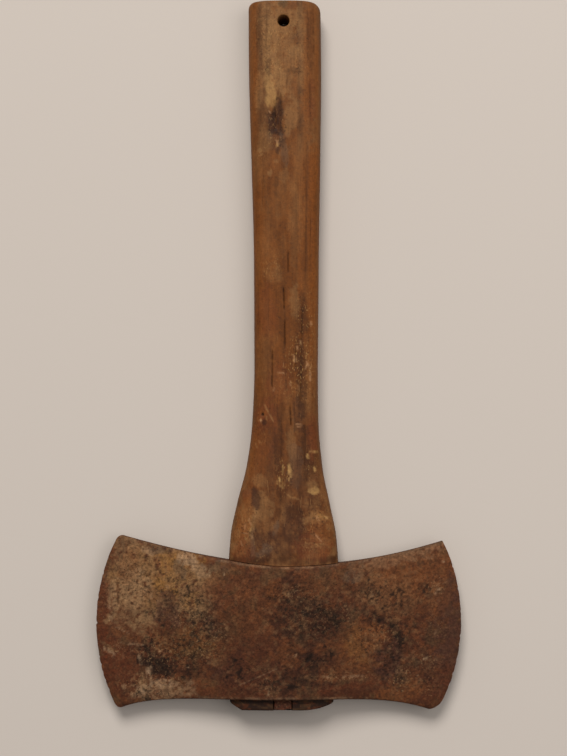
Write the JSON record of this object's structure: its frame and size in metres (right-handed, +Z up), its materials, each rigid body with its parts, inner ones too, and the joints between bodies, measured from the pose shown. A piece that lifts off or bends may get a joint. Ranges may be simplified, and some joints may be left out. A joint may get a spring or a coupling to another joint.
{
  "type": "double-bit axe",
  "caption": "Double-bit felling axe: rusted iron head on a short worn wooden haft with a drilled hanging hole, lying flat on one cheek.",
  "frame": {"origin": "on the underside of the lower cheek, under the point where the haft's axis crosses the line between the bits", "axes": "+X runs from the longer, more weathered left bit to the right bit, +Y from the crown of the head to the butt of the haft, +Z up through both cheeks"},
  "size_m": [0.26, 0.5057, 0.0285],
  "materials": {
    "rusted_iron": "matte",
    "worn_wood": "matte",
    "wedge_iron": "matte"
  },
  "bodies": {
    "root": {"axe_head": "rusted_iron", "haft": "worn_wood", "wedge": "wedge_iron"}
  },
  "joints": []
}
